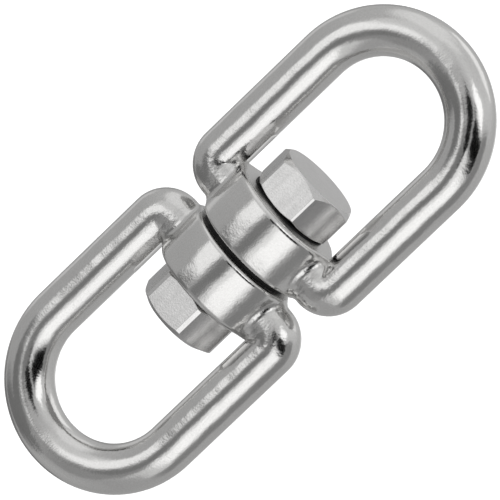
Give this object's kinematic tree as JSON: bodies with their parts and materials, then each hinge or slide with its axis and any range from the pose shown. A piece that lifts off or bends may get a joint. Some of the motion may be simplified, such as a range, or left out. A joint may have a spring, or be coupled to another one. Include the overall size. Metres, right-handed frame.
{
  "type": "anchor swivel",
  "caption": "Eye-and-eye swivel: two round-bar eyes with bored bosses turn on a hexagon-headed bolt and nut, to join a chain or rope to an anchor without twisting.",
  "frame": {"origin": "on the swivel axis, at the middle of the gap between the two bosses, which is the centre of the whole part", "axes": "+Z along the swivel axis towards the upper eye, whose boss the bolt head rests on; both eyes lie in the XZ plane; +Y square to the eyes"},
  "size_m": [0.045, 0.025, 0.1186],
  "materials": {
    "cast_stainless": "cast stainless steel, polished bright, with slight waviness",
    "turned_stainless": "satin stainless steel",
    "spring_steel": "dull stainless spring steel",
    "black_washer": "black bearing plastic"
  },
  "bodies": {
    "upper_eye": {"upper_eye": "cast_stainless"},
    "head_washer": {"head_washer": "black_washer"},
    "bolt": {"swivel_bolt": "turned_stainless", "swivel_nut": "turned_stainless", "lock_pin": "spring_steel", "nut_washer": "black_washer"},
    "lower_eye": {"lower_eye": "cast_stainless", "centre_washer": "black_washer"}
  },
  "joints": [
    {"name": "end_float", "type": "slide", "parent": "upper_eye", "child": "head_washer", "axis": [0, 0, 1], "range_m": [0, 0.00015]},
    {"name": "bolt_turn", "type": "hinge", "parent": "head_washer", "child": "bolt", "pos_m": [0, 0, 0], "axis": [0, 0, 1], "continuous": true},
    {"name": "eye_swivel", "type": "hinge", "parent": "bolt", "child": "lower_eye", "pos_m": [0, 0, 0], "axis": [0, 0, 1], "continuous": true}
  ]
}
